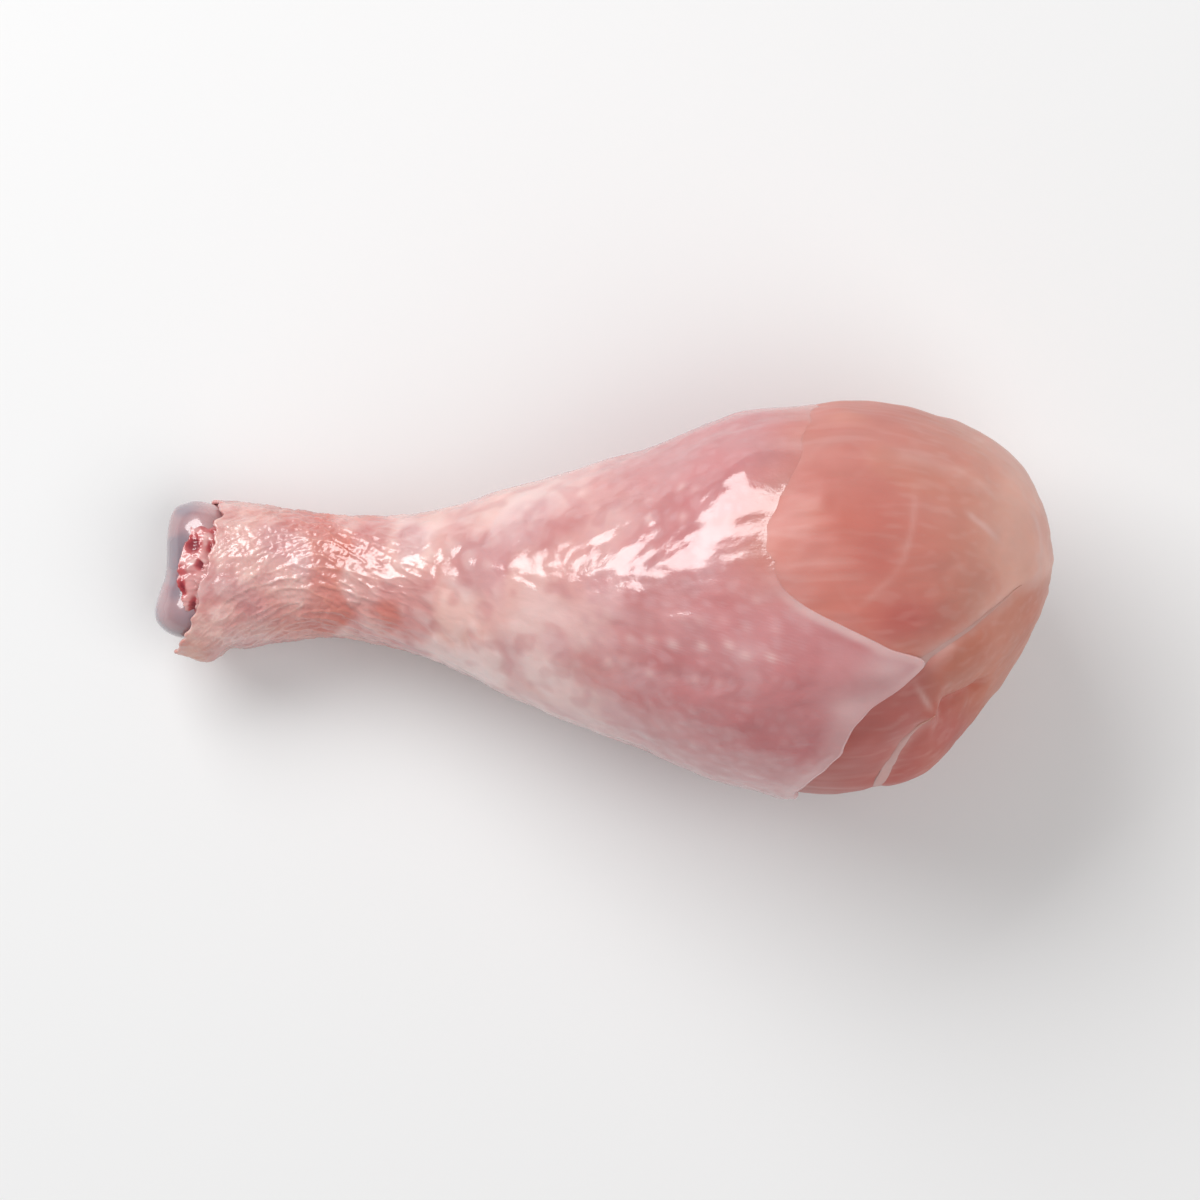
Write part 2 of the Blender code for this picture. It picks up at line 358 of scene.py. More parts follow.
def wet_material(name, size, mottle, roughness, bump, coat, stretch=(1.0, 1.0, 1.0)):
    """Moist tissue: painted colour with fine mottling, uneven gloss and a faint relief.

    size is the mottling's length in metres, mottle its strength, roughness a (low, high) pair, and
    coat the wet film's weight and roughness.
    """
    made = bpy.data.materials.new(name)
    made.use_nodes = True
    nodes, links = made.node_tree.nodes, made.node_tree.links
    shader = nodes["Principled BSDF"]
    shader.inputs["Subsurface Weight"].default_value = SUBSURFACE
    shader.inputs["Subsurface Radius"].default_value = (1.0, 0.35, 0.28)
    shader.inputs["Subsurface Scale"].default_value = SUBSURFACE_DEPTH
    shader.inputs["IOR"].default_value = 1.42
    shader.inputs["Coat Weight"].default_value = coat[0]
    shader.inputs["Coat Roughness"].default_value = coat[1]
    shader.inputs["Coat IOR"].default_value = 1.75

    place = nodes.new("ShaderNodeTexCoord")
    mapping = nodes.new("ShaderNodeMapping")
    mapping.inputs["Scale"].default_value = stretch
    links.new(place.outputs["Object"], mapping.inputs["Vector"])

    def noise_node(length, detail, roughness_share=0.5):
        node = nodes.new("ShaderNodeTexNoise")
        node.inputs["Scale"].default_value = 1.0 / length
        node.inputs["Detail"].default_value = detail
        node.inputs["Roughness"].default_value = roughness_share
        links.new(mapping.outputs["Vector"], node.inputs["Vector"])
        return node.outputs["Fac"]

    def spread(value, low, high):
        node = nodes.new("ShaderNodeMapRange")
        node.inputs["From Min"].default_value = 0.3
        node.inputs["From Max"].default_value = 0.7
        node.inputs["To Min"].default_value = low
        node.inputs["To Max"].default_value = high
        links.new(value, node.inputs["Value"])
        return node.outputs["Result"]

    def scaled(value, factor):
        node = nodes.new("ShaderNodeMath")
        node.operation = "MULTIPLY"
        node.inputs[1].default_value = factor
        links.new(value, node.inputs[0])
        return node.outputs["Value"]

    tint = nodes.new("ShaderNodeAttribute")
    tint.attribute_name = "tint"
    shade = nodes.new("ShaderNodeHueSaturation")
    links.new(tint.outputs["Color"], shade.inputs["Color"])
    links.new(spread(noise_node(size, 3.0), 1.0 - mottle, 1.0 + mottle), shade.inputs["Value"])
    blush = spread(noise_node(size * 2.3, 2.0), 1.0 - mottle, 1.0 + mottle)
    links.new(blush, shade.inputs["Saturation"])
    links.new(shade.outputs["Color"], shader.inputs["Base Color"])
    gloss = spread(noise_node(size * 1.6, 2.0), *roughness)
    links.new(gloss, shader.inputs["Roughness"])

    relief = nodes.new("ShaderNodeBump")
    links.new(scaled(tint.outputs["Alpha"], bump), relief.inputs["Strength"])
    relief.inputs["Distance"].default_value = BUMP_DEPTH
    links.new(noise_node(size * 0.28, 4.0, 0.64), relief.inputs["Height"])
    links.new(relief.outputs["Normal"], shader.inputs["Normal"])
    links.new(relief.outputs["Normal"], shader.inputs["Coat Normal"])
    return made


# ---------------------------------------------------------------- meat

MEAT_COLUMNS = 380
SEAM_MAIN = ((115.8, 3.0), (112.8, 0.4), (108.4, -3.0), (103.6, -6.2), (99.0, -9.6), (92.0, -16.0))
MEMBRANE_LINE = ((98.6, -8.8), (101.4, -7.4), (105.2, -5.2), (108.6, -2.8), (112.0, -0.2), (114.2, 1.8))
SEAM_LOWER = ((110.0, -12.8), (107.2, -13.9), (104.6, -14.4), (102.2, -14.9))
SEAM_SPLIT = ((102.2, -14.9), (100.9, -12.8), (99.4, -10.2))
TENDON_LINE = ((102.2, -14.9), (100.2, -16.9), (98.3, -18.9), (96.6, -21.6), (95.1, -24.1))
ARC_LINE = ((99.4, 15.6), (99.3, 12.1), (98.6, 7.7), (96.7, 3.4), (92.9, -0.2), (89.8, -2.6))
STREAK_LINE = ((105.4, 11.6), (108.4, 9.4), (111.6, 6.5))
RIM_LINE = ((112.6, 14.5), (115.4, 10.5), (116.3, 6.0), (115.6, 2.6), (113.2, 0.3))

# Pale sheets of connective tissue seen edge on: path, half width, strength.
FASCIA_LINES = (
    (ARC_LINE, 0.50, 0.22),
    (STREAK_LINE, 0.50, 0.65),
    (RIM_LINE, 0.9, 0.55),
    (MEMBRANE_LINE, 1.3, 0.55),
    (SEAM_SPLIT, 0.45, 0.55),
    (TENDON_LINE, 1.3, 0.35),
    (((93.0, 19.0), (99.0, 18.0), (106.0, 15.5), (110.0, 12.5)), 1.4, 0.22),
    (((103.0, 17.5), (107.5, 15.0), (111.0, 12.0)), 0.5, 0.25),
)


def top_path(line):
    """A path over the meat's upper side through points of its top view."""
    fine = smooth_path(line)
    return flesh(fine[:, 0], on_top(fine[:, 0], fine[:, 1]))


def side_path(line):
    """A path over the meat through points of (along, angle)."""
    fine = smooth_path(line)
    return flesh(fine[:, 0], fine[:, 1])


# Between the muscles: path, groove's depth and width, the hollow's depth and width, darkness (a deeper red
# along the seam, partly its own colour and partly painted shade in the groove).
SEAMS = (
    (top_path(SEAM_MAIN[::-1]), 0.30, 0.7, 0.75, 3.6, 0.3),
    (top_path(SEAM_LOWER[::-1]), 0.9, 1.0, 1.4, 3.8, 1.0),
    (top_path(SEAM_SPLIT), 0.15, 0.8, 0.5, 3.0, 0.3),
    (top_path(TENDON_LINE), 0.15, 1.2, 0.7, 3.5, 0.4),
    (side_path(((95.1, 162.0), (95.0, 185.0), (97.0, 215.0), (101.0, 240.0))), 0.8, 1.1, 0.8, 4.0, 0.8),
    (side_path(((117.0, 330.0), (108.0, 318.0), (98.0, 312.0), (84.0, 308.0))), 0.7, 1.1, 0.9, 4.5, 0.8),
    (side_path(((84.0, 262.0), (94.0, 258.0), (104.0, 250.0), (112.0, 240.0))), 0.7, 1.0, 0.8, 4.0, 0.8),
)


def meat_relief(points):
    """How far the muscles stand in or out of the bare meat, and the seams' darkness, which is partly painted
    shade.
    """
    low = np.zeros(points.shape[:-1])
    seam_red_and_shade = np.zeros(points.shape[:-1])
    for path, depth, width, hollow, spread, darkness in SEAMS:
        away, share = path_distance(points, path)
        part = smooth(0.0, 0.25, share) * smooth(1.05, 0.80, share)
        low += part * depth * np.exp(-((away / width) ** 2))
        low += part * hollow * np.exp(-((away / spread) ** 2))
        seam_red_and_shade = np.maximum(seam_red_and_shade, darkness * part * np.exp(-((away / (width * 1.1)) ** 2)))
    return -low, seam_red_and_shade


def sinews(points):
    """Strands that spread from the knee's capsule over the muscles' ends, from 0 to 1."""
    out = points - KNEE_HEAD
    turn = np.arctan2(out[..., 2], out[..., 1])
    reach = np.linalg.norm(out / KNEE_HEAD_RADII, axis=-1)
    fan = np.stack((np.cos(turn), np.sin(turn), 0.12 * reach), axis=-1)
    strands = smooth(0.0, 0.8, noise_at(fan, 0.22, 18))
    return strands * smooth(1.0, 1.25, reach) * smooth(2.5, 1.4, reach) * smooth(101.0, 107.0, points[..., 0])


def make_meat():
    """The muscles: hidden under the skin, then bare up to the knee end, with seams and fibres."""
    rows_hidden = np.linspace(10.5, 76.0, 14)[:-1]
    rows_middle = np.linspace(76.0, DOME_START, 36)[:-1]
    turns = np.linspace(0.0, math.pi / 2 * 0.985, 104)
    rows_dome = DOME_START + (LEG - DOME_START) * np.sin(turns)
    along = np.concatenate((rows_hidden, rows_middle, rows_dome))[:, None]
    angle = angles_round(MEAT_COLUMNS, 0.3)
    base = flesh(along, angle)
    along, angle = np.broadcast_arrays(along, angle)
    beyond = along - round_leg(KNEE_EDGE, angle)
    bare = smooth(-3.0, 2.0, beyond)
    free = smooth(-0.5, 4.5, beyond)

    relief, seam_red_and_shade = meat_relief(base)
    lumps = 0.30 * noise_at(base, 11.0, 1) + 0.10 * noise_at(base, 4.0, 2)
    fibres = 0.040 * noise_at(base, (9.0, 1.1, 1.1), 3) + 0.05 * noise_at(base, (7.0, 3.0, 3.0), 4)
    fibres += 0.030 * noise_at(base, (2.6, 1.8, 1.8), 5)
    head_out = np.linalg.norm((base - KNEE_HEAD) / KNEE_HEAD_RADII, axis=-1)
    lip = 0.8 * np.exp(-(((head_out - 1.15) / 0.16) ** 2)) * (along > KNEE_SIDE)
    off = (relief + fibres) * bare + lumps * free + 0.22 * sinews(base) + lip
    off -= 0.12 * smooth(0.0, -4.0, beyond)
    rings = flesh(along, angle, off)
    tints = meat_tints(base, along, angle, seam_red_and_shade)
    vertices, colours = capped(rings, tints)
    look = wet_material("moist_meat", 0.006, 0.06, (0.44, 0.60), 0.18, (0.26, 0.32), (0.5, 1.0, 1.0))
    faces = ring_faces(*along.shape)
    piece = new_piece("muscles", vertices, faces, look, colours)
    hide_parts("meat")
    return piece


def meat_tints(points, along, angle, seam_red_and_shade):
    """The meat's colours, from muscle to muscle, with painted light on the far end and partly painted shade
    in the seams.
    """
    # Paler peach on the far end: partly the meat's own tone there, partly painted light that brightens the
    # end where the dome turns from the lamps, most on its upper side.
    painted_light_top = smooth(10.0, 26.0, points[..., 2])
    tint = mix(MEAT_PINK, MEAT_ORANGE, smooth(94.0, 112.0, along))
    tint = mix(tint, MEAT_ORANGE, 0.5 * smooth(0.1, 0.7, noise_at(points, 9.0, 11)))
    tint = mix(tint, MEAT_RIM, 0.90 * smooth(104.5, 113.5, along) * (0.45 + 0.55 * painted_light_top))
    tint = mix(tint, MEAT_RED, 0.16 * smooth(0.0, 0.8, noise_at(points, 7.0, 12)))
    upper = smooth(14.0, 20.0, points[..., 2])
    tint = mix(tint, MEAT_RED, 0.70 * blob(points, (98.6, -2.6), (4.6, 3.0)) * upper)
    tint = mix(tint, MEAT_RED, 0.14 * blob(points, (94.0, 10.0), (7.0, 7.0)) * upper)
    below = smooth(-1.0, 1.5, -(points[..., 1] + 6.2 - (along - 103.6) * 0.70))
    tint = mix(tint, MEAT_MAUVE, 0.75 * below * smooth(106.0, 99.0, along))
    tint = mix(tint, MEAT_DEEP, 0.7 * below * smooth(99.0, 105.0, along))
    lower_head = np.clip(blob(points, (104.5, -17.5), (4.5, 4.0)), 0.0, 1.0) * (points[..., 2] > 8.0)
    tint = mix(tint, MEAT_RED, 0.8 * lower_head)
    streaks = smooth(0.1, 0.8, noise_at(points, (16.0, 0.9, 0.9), 13))
    tint = mix(tint, FASCIA, 0.12 * streaks)
    hidden = 1.0 - upper
    veins = smooth(0.80, 0.97, 1.0 - np.abs(noise_at(points, 9.0, 16))) * (0.3 + 0.7 * hidden)
    tint = mix(tint, FASCIA, 0.16 * veins * smooth(-0.4, 0.4, noise_at(points, 6.0, 17)))
    silver = smooth(0.2, 0.7, noise_at(points, (7.0, 10.0, 10.0), 19)) * hidden
    tint = mix(tint, SKIN_LILAC, 0.30 * silver)
    tint = mix(tint, FASCIA, 0.45 * sinews(points))
    # A deeper red along the seams: partly their own colour, partly painted shade in the grooves.
    tint = mix(tint, MEAT_RED, 0.35 * seam_red_and_shade)
    worn = smooth(-0.5, 0.5, noise_at(points, 2.4, 14))
    for line, width, strength in FASCIA_LINES:
        away, share = path_distance(points, top_path(line))
        fade = smooth(0.0, 0.3, share) * smooth(1.0, 0.7, share) * (0.5 + 0.5 * worn)
        tint = mix(tint, FASCIA, strength * fade * np.exp(-((away / width) ** 2)))
    film = smooth(9.0, -1.0, along - round_leg(KNEE_EDGE, angle))
    tint = mix(tint, SKIN_LILAC, 0.15 * film * smooth(-0.6, 0.6, noise_at(points, 5.0, 15)))
    head_out = np.linalg.norm((points - KNEE_HEAD) / KNEE_HEAD_RADII, axis=-1)
    collar = np.exp(-(((head_out - 1.12) / 0.18) ** 2)) * (along > KNEE_SIDE)
    return mix(tint, MEAT_RIM, 0.75 * collar)


# ---------------------------------------------------------------- skin

SKIN_COLUMNS = 256
SKIN_ROWS = 352
RIM_STEPS = 5
INNER_ROWS = 16
FILM_ROWS = 120  # rows next to the knee edge, where the meat can show through the skin
HUG = 0.08  # how far the skin's inner face stands off the meat
EDGE_DEPTH = 0.5  # how deep the inner face sinks into the meat where the skin is a film
FOLLICLE_SPACING = 3.7


def follicles():
    """Where the feathers' pores sit, and how much each stands out."""
    places = []
    for row, along in enumerate(np.arange(16.0, 90.0, FOLLICLE_SPACING * 0.85)):
        width, height, _, _ = section(np.array(along))
        count = int(math.pi * (width + height) / 2 / FOLLICLE_SPACING)
        for k in range(count):
            shift = RNG.uniform(-0.28, 0.28, 2)
            angle = 360.0 * (k + 0.5 * (row % 2) + shift[0]) / count
            places.append((along + shift[1] * FOLLICLE_SPACING, angle, RNG.uniform(0.25, 1.0)))
    return np.array(places)


def follicle_mask(points):
    """How much of a pore each point of the skin is, from 0 to 1."""
    pores = follicles()
    tree = kdtree.KDTree(len(pores))
    for k, place in enumerate(flesh(pores[:, 0], pores[:, 1])):
        tree.insert(place, k)
    tree.balance()
    found = [tree.find(p) for p in points.reshape(-1, 3).tolist()]
    strength = pores[[f[1] for f in found], 2]
    away = np.array([f[2] for f in found])
    return (strength * np.exp(-((away / 0.66) ** 2))).reshape(points.shape[:-1])


def twisted(points, along, angle, stretch, pitch):
    """Places for noise that runs round the leg at a slant; the slant turns back at the neck."""
    twist = through(np.array((4.0, 12.0, 21.0, 30.0, 46.0, 90.0)),
                    np.array((0.0, 40.0, 62.0, 38.0, 10.0, 0.0)), along)
    turn = np.radians(angle + twist)
    radius = np.linalg.norm(points[..., 1:] - points[..., 1:].mean(axis=1, keepdims=True), axis=-1)
    return np.stack(
        (along / stretch, radius * np.cos(turn) / pitch, radius * np.sin(turn) / pitch), axis=-1
    )


def skin_relief(points, along, angle, pores, edge_away):
    """How far the skin's outer face stands in or out, in millimetres."""
    ankle = smooth(40.0, 22.0, along)
    neck = np.exp(-(((along - 28.0) / 9.0) ** 2))
    thigh = smooth(45.0, 65.0, along)
    pores = pores * smooth(-0.5, 0.6, noise_at(points, 12.0, 29))
    lumps = 0.26 * noise_at(points, 14.0, 21) + 0.10 * noise_at(points, 5.5, 22)
    fat = (cells_at(points, 3.1, 23) - 0.5) * (0.05 + 0.14 * smooth(60.0, 30.0, along))
    slanted = twisted(points, along, angle, 4.2, 0.95)
    ridge = 1.0 - np.abs(noise_at(slanted, 1.0, 24))
    folds = (ridge**3 - 0.35) * (0.13 * ankle + 0.09 * neck)
    folds += 0.05 * noise_at(slanted, 0.5, 20) * ankle
    grain = (cells_at(points, 0.85, 25) - 0.5) * (0.02 + 0.09 * ankle)
    crinkle = 0.035 * noise_at(points, (1.2, 3.4, 3.4), 26) * smooth(70.0, 80.0, along)
    slid = points - np.stack((0.0 * along, 0.27 * along, 0.0 * along), axis=-1)
    crinkle += 0.050 * noise_at(slid, (3.8, 1.15, 1.15), 27) * thigh
    crinkle += 0.014 * noise_at(slid, (1.6, 0.6, 0.6), 19) * thigh
    broad = 0.10 * noise_at(slid, (8.0, 3.0, 3.0), 28) * thigh
    lobe = 1.3 * np.exp(-(((along - 6.0) / 2.4) ** 2) - ((angle - 172.0) / 26.0) ** 2)
    lobe -= 0.8 * np.exp(-(((along - 10.0) / 1.6) ** 2) - ((angle - 178.0) / 30.0) ** 2)
    rolled = smooth(120.0, 142.0, angle) * smooth(345.0, 320.0, angle)
    roll = 0.28 * rolled * np.exp(-(((edge_away - 1.0) / 0.9) ** 2))
    hollow = -0.12 * rolled * np.exp(-(((edge_away - 3.8) / 1.6) ** 2))
    return lumps + fat + folds + grain + crinkle + broad + 0.15 * pores + lobe + roll + hollow


def skin_tints(points, along, angle, pores, edge_away, start_away):
    """The skin's colours: cream at the ankle, rosy and lilac over the meat, paler at its edges, with rosier
    flanks that are partly painted shade.
    """
    tint = mix(SKIN_CREAM, SKIN_PINK, smooth(36.0, 74.0, along))
    wide_part = smooth(24.0, 38.0, along) * smooth(72.0, 44.0, along)
    tint = mix(tint, SKIN_PALE, 0.80 * wide_part * smooth(-0.3, 0.5, noise_at(points, 7.0, 31)))
    tint = mix(tint, SKIN_ROSY, 0.60 * smooth(0.0, 0.8, noise_at(points, 8.0, 32)))
    tint = mix(tint, SKIN_LILAC, 0.60 * smooth(0.0, 0.7, noise_at(points, 6.0, 33)))
    tint = mix(tint, SKIN_ROSY, 0.35 * smooth(0.1, 0.7, noise_at(points, 2.6, 34)))
    lobules = cells_at(points, 3.1, 23)
    tint = mix(tint, SKIN_PALE, 0.35 * smooth(0.3, 0.9, lobules) * smooth(75.0, 35.0, along))
    tint = mix(tint, SKIN_PALE, 0.72 * pores * smooth(-0.6, 0.5, noise_at(points, 12.0, 29)))
    net = smooth(0.25, 0.85, cells_at(points, 2.0, 37)) * smooth(50.0, 62.0, along)
    tint = mix(tint, SKIN_LILAC, 0.45 * net * smooth(96.0, 86.0, along))
    slanted = twisted(points, along, angle, 4.2, 0.95)
    crease = smooth(0.75, 1.0, 1.0 - np.abs(noise_at(slanted, 1.0, 24)))
    sore = smooth(0.0, 0.6, noise_at(points, 6.0, 35)) * np.exp(-(((along - 27.0) / 11.0) ** 2))
    tint = mix(tint, SKIN_CREASE, 0.72 * sore + 0.14 * np.exp(-(((along - 27.0) / 7.0) ** 2)))
    tint = mix(tint, SKIN_ROSY, 0.30 * (1.0 - crease) * smooth(40.0, 20.0, along))
    # Rosier, darker skin on both flanks of the thigh: partly the skin's own rosy tone, partly painted shade
    # where the flanks turn from the light.
    side = smooth(-9.0, -14.0, points[..., 1]) + smooth(10.0, 18.0, points[..., 1])
    tint = mix(tint, SKIN_ROSY, 0.40 * side * smooth(56.0, 66.0, along) * smooth(90.0, 80.0, along))
    rolled = smooth(108.0, 122.0, angle) * smooth(345.0, 320.0, angle)
    tint = mix(tint, SKIN_ROSY, 0.50 * smooth(80.0, 88.0, along) * smooth(84.0, 98.0, angle))
    tint = mix(tint, SKIN_CUT, (0.40 + 0.25 * rolled) * smooth(1.6 + 2.4 * rolled, 0.4, edge_away))
    upper_edge = smooth(84.0, 92.0, angle) * smooth(122.0, 112.0, angle)
    tint = mix(tint, SKIN_PALE, 0.45 * upper_edge * smooth(1.3, 0.2, edge_away))
    tip = (blob(points, (96.2, -9.0), (4.0, 2.6)) + blob(points, (91.0, -14.0), (3.0, 2.2))) * (angle < 160.0)
    tint = mix(tint, SKIN_CUT, 0.85 * np.clip(tip, 0.0, 1.0))
    near = smooth(9.0, 0.0, edge_away[-FILM_ROWS:]) * (1.0 - rolled[-FILM_ROWS:])
    near *= smooth(100.0, 76.0, angle[-FILM_ROWS:]) + smooth(300.0, 345.0, angle[-FILM_ROWS:])
    below = points[-FILM_ROWS:]
    _, seam_red_and_shade = meat_relief(below)
    meat_below = meat_tints(below, along[-FILM_ROWS:], angle[-FILM_ROWS:], seam_red_and_shade)
    tint[-FILM_ROWS:] = mix(tint[-FILM_ROWS:], meat_below, near)
    stain = smooth(3.0, 0.2, start_away) * smooth(-0.3, 0.5, noise_at(points, 1.6, 36))
    tint = mix(tint, RAW_RED, 0.40 * stain)
    lobe = np.exp(-(((along - 5.0) / 2.2) ** 2) - ((angle - 172.0) / 30.0) ** 2)
    return mix(tint, ANKLE_LOBE, 0.6 * lobe)


def skin_edges(angle):
    """Where the skin starts and ends at each angle, with small nicks."""
    turn = np.radians(angle)
    circle = np.stack((np.cos(turn), np.sin(turn), np.zeros(turn.shape)), axis=-1) * 10.0
    nicks = noise_at(circle, 1.1, 41)
    start = round_leg(ANKLE_EDGE, angle) + 0.45 * nicks + 0.35 * noise_at(circle, 3.0, 42)
    end = round_leg(KNEE_EDGE, angle) + 0.28 * noise_at(circle, 0.9, 43)
    end += 0.7 * noise_at(circle, 2.6, 44)
    return start, end


def make_skin():
    """The sleeve: an outer face with folds and pores, round edges, and an inner face on the meat."""
    angle = angles_round(SKIN_COLUMNS, 0.35)
    start, end = skin_edges(angle)
    share = through(np.array((0.0, 0.42, 0.86, 1.0)), np.array((0.0, 0.33, 0.93, 1.0)),
                    np.linspace(0.0, 1.0, SKIN_ROWS))[:, None]
    along = start + (end - start) * share
    wide = np.broadcast_to(angle, along.shape)
    width, _, _, _ = section(end)
    slant = np.gradient(end[0], np.radians(angle[0]) * width[0].mean() / 2)
    edge_away = (end - along) / np.sqrt(1.0 + slant**2)
    start_away = along - start

    points = flesh(along, wide, 0.8)
    pores = follicle_mask(flesh(along, wide)) * smooth(0.5, 3.0, edge_away)
    edge_off = round_leg(KNEE_EDGE_OFF, angle)
    off = edge_off + (SLEEVE - edge_off) * smooth(0.0, 10.0, edge_away)
    off = np.minimum(off, ANKLE_EDGE_OFF + (SLEEVE - ANKLE_EDGE_OFF) * smooth(0.0, 6.0, start_away))
    relief = skin_relief(points, along, wide, pores, edge_away)
    relief *= smooth(-0.6, 2.0, edge_away) * smooth(-0.8, 1.2, start_away)
    for _ in range(50):
        off = (np.roll(off, 1, axis=1) + off * 2 + np.roll(off, -1, axis=1)) / 4
    tongue = smooth(85.0, 91.0, along) * smooth(88.0, 98.0, wide) * smooth(160.0, 135.0, wide)
    outer_off = off + relief * np.minimum(off / SLEEVE, 1.0) * (1.0 - 0.75 * tongue)
    outer = flesh(along, wide, outer_off)
    tints = skin_tints(points, along, wide, pores, edge_away, start_away)

    inner_share = np.linspace(1.0, 0.0, INNER_ROWS)[:, None]
    under = HUG - EDGE_DEPTH * smooth(0.8, 0.2, edge_off) * smooth(0.8, 1.0, inner_share)
    inner = flesh(start + (end - start) * inner_share, wide[:INNER_ROWS], under)
    knee_rim = rim(end, angle, outer_off[-1:], under[:1], 1.0)
    ankle_rim = rim(start, angle, outer_off[:1], under[-1:], -1.0)[::-1]
    rings = np.concatenate((outer, knee_rim, inner, ankle_rim))
    knee_tint = np.broadcast_to(tints[-1:], (RIM_STEPS + INNER_ROWS // 2, SKIN_COLUMNS, 3))
    rest = len(rings) - len(tints) - len(knee_tint)
    ankle_tint = np.broadcast_to(tints[:1], (rest, SKIN_COLUMNS, 3))
    colours = np.concatenate((tints, knee_tint, ankle_tint)).reshape(-1, 3)
    faces = ring_faces(len(rings), SKIN_COLUMNS, closed=True)
    look = wet_material("wet_skin", 0.004, 0.06, (0.34, 0.54), 1.0, (0.95, 0.11), (0.7, 1.0, 1.0))
    grain = 0.30 + 0.55 * smooth(36.0, 22.0, rings[..., 0].ravel())
    piece = new_piece("skin_sleeve", rings.reshape(-1, 3), faces, look, colours, grain)
    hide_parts("skin")
    return piece


def rim(edge, angle, outer_off, under, direction):
    """The round edge of the skin, from its outer face to its inner one."""
    rings = []
    for step in range(1, RIM_STEPS + 1):
        turn = math.pi * step / (RIM_STEPS + 1)
        radius = (outer_off - under) / 2
        off = under + radius * (1.0 + math.cos(turn))
        reach = np.minimum(radius, 0.6) * math.sin(turn) * direction
        rings.append(flesh(edge + reach, angle, off))
    return np.concatenate(rings)


# ---------------------------------------------------------------- bone and cartilage


BONE_VOXEL = 0.42


def ellipsoid(centre, radii, rings=40, columns=56):
    """Rings over an ellipsoid whose poles lie along the leg."""
    polar = np.linspace(0.02, math.pi - 0.02, rings)[:, None]
    turn = np.linspace(0.0, 2 * math.pi, columns, endpoint=False)[None, :]
    unit = np.stack((-np.cos(polar) + 0 * turn, np.sin(polar) * np.cos(turn),
                     np.sin(polar) * np.sin(turn)), axis=-1)
    return centre + unit * radii


def spool():
    """The ankle's joint face: two round condyles with a groove between them, along Y."""
    y = np.linspace(-5.4, 13.2, 64)
    outer = np.array((-5.4, -4.6, -3.0, -1.4, 0.6, 3.0, 5.4, 8.0, 10.6, 12.4, 13.2))
    radius = through(outer, np.array((0.5, 3.4, 5.2, 5.6, 5.4, 4.9, 5.1, 5.2, 4.3, 2.8, 0.4)), y)
    centre = through(outer, np.array((5.6, 5.6, 5.6, 5.7, 6.0, 6.4, 6.8, 6.9, 6.4, 5.9, 5.6)), y)
    turn = np.linspace(0.0, 2 * math.pi, 56, endpoint=False)[None, :]
    x = centre[:, None] + radius[:, None] * np.cos(turn)
    z = ANKLE_JOINT[2] + radius[:, None] * 1.02 * np.sin(turn)
    return np.stack((x, np.broadcast_to(y[:, None], x.shape), z), axis=-1)


def shaft():
    """The tibia's shaft between its joints, which flares towards both."""
    share = np.linspace(0.0, 1.0, 40)[:, None]
    turn = np.linspace(0.0, 2 * math.pi, 40, endpoint=False)[None, :]
    centre = ANKLE_JOINT + (KNEE_HEAD - ANKLE_JOINT) * share
    radius = 3.0 * (1.0 + 0.55 * (1.0 - share) ** 6 + 0.9 * share**6)
    y = centre[:, 1:2] + radius * 1.1 * np.cos(turn)
    z = centre[:, 2:3] + radius * np.sin(turn)
    return np.stack((np.broadcast_to(centre[:, :1], y.shape), y, z), axis=-1)


def knee_head():
    """The tibia's upper end: a broad head with two shallow dishes and a ridge between them."""
    rings = ellipsoid(KNEE_HEAD, KNEE_HEAD_RADII)
    facing = smooth(0.35, 0.9, (rings[..., 0] - KNEE_HEAD[0]) / KNEE_HEAD_RADII[0])
    across = (rings[..., 1] - KNEE_HEAD[1]) / KNEE_HEAD_RADII[1]
    dishes = np.exp(-(((np.abs(across) - 0.42) / 0.24) ** 2))
    rings[..., 0] -= facing * (0.2 + 0.6 * dishes)
    return rings


def fused(name, bodies, voxel, rounds):
    """One closed mesh from overlapping closed bodies, remeshed and smoothed. Sizes in millimetres."""
    vertices, faces = [], []
    for rings in bodies:
        here = sum(len(v) for v in vertices)
        body, _ = capped(rings, rings)
        vertices.append(body)
        faces += [tuple(here + k for k in face) for face in ring_faces(*rings.shape[:2])]
    mesh = bpy.data.meshes.new(name)
    mesh.from_pydata(np.vstack(vertices).tolist(), [], faces)
    mesh.validate()
    source = bpy.data.objects.new(name, mesh)
    bpy.context.scene.collection.objects.link(source)
    remesh = source.modifiers.new("union", "REMESH")
    remesh.mode = "VOXEL"
    remesh.voxel_size = voxel
    ease = source.modifiers.new("ease", "SMOOTH")
    ease.iterations = rounds
    shown = source.evaluated_get(bpy.context.evaluated_depsgraph_get())
    made = shown.to_mesh()
    points = np.array([v.co for v in made.vertices], float)
    polygons = [tuple(p.vertices) for p in made.polygons]
    shown.to_mesh_clear()
    bpy.data.objects.remove(source, do_unlink=True)
    return points, polygons


